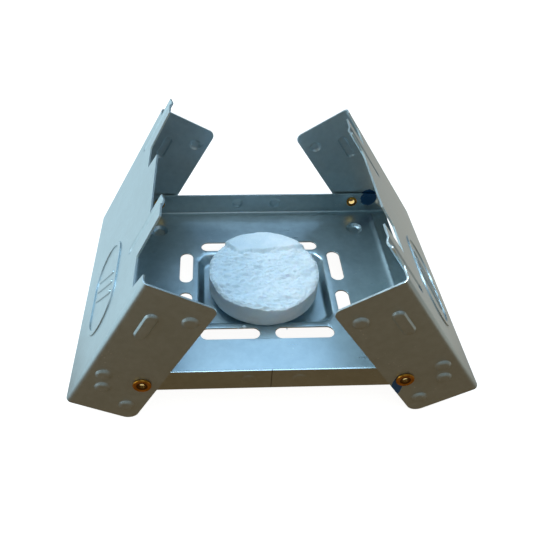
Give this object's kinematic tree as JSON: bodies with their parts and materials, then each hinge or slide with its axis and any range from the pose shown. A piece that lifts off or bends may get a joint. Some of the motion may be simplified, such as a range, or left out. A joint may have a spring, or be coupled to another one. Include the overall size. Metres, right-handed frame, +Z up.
{
  "type": "folding pocket stove",
  "caption": "Folding sheet-steel pocket stove for solid fuel: a slotted tray with a sunk well, two hinged U-shaped side panels that lock together when closed, and a round fuel tablet.",
  "frame": {"origin": "on the ground under the middle of the bounding box of the open stove", "axes": "+X from the left panel to the right panel, +Y from front to back along the panel hinges, +Z up"},
  "size_m": [0.1088, 0.0786, 0.0565],
  "materials": {
    "zinc_steel": "satin zinc-coated sheet steel with a fine mottle, bright cut edges",
    "rivet_brass": "rolled brass, slightly dull",
    "fuel": "pressed crystalline solid fuel, chalky, chipped on top"
  },
  "bodies": {
    "root": {"tray": "zinc_steel", "rivet_front_left": "rivet_brass", "rivet_front_right": "rivet_brass", "rivet_rear_left": "rivet_brass", "rivet_rear_right": "rivet_brass"},
    "left_panel": {"left_panel": "zinc_steel"},
    "right_panel": {"right_panel": "zinc_steel"},
    "fuel_tablet": {"fuel_tablet": "fuel"}
  },
  "joints": [
    {"name": "left_hinge", "type": "hinge", "parent": "root", "child": "left_panel", "pos_m": [-0.03403, 0, 0.01458], "axis": [0, -1, 0], "range_deg": [-61.2, 28.8]},
    {"name": "right_hinge", "type": "hinge", "parent": "root", "child": "right_panel", "pos_m": [0.03357, 0, 0.01458], "axis": [0, 1, 0], "range_deg": [-56.5, 33.5]},
    {"name": "tablet_lift", "type": "slide", "parent": "root", "child": "fuel_tablet", "axis": [0, 0, 1], "range_m": [0, 0.008]}
  ]
}
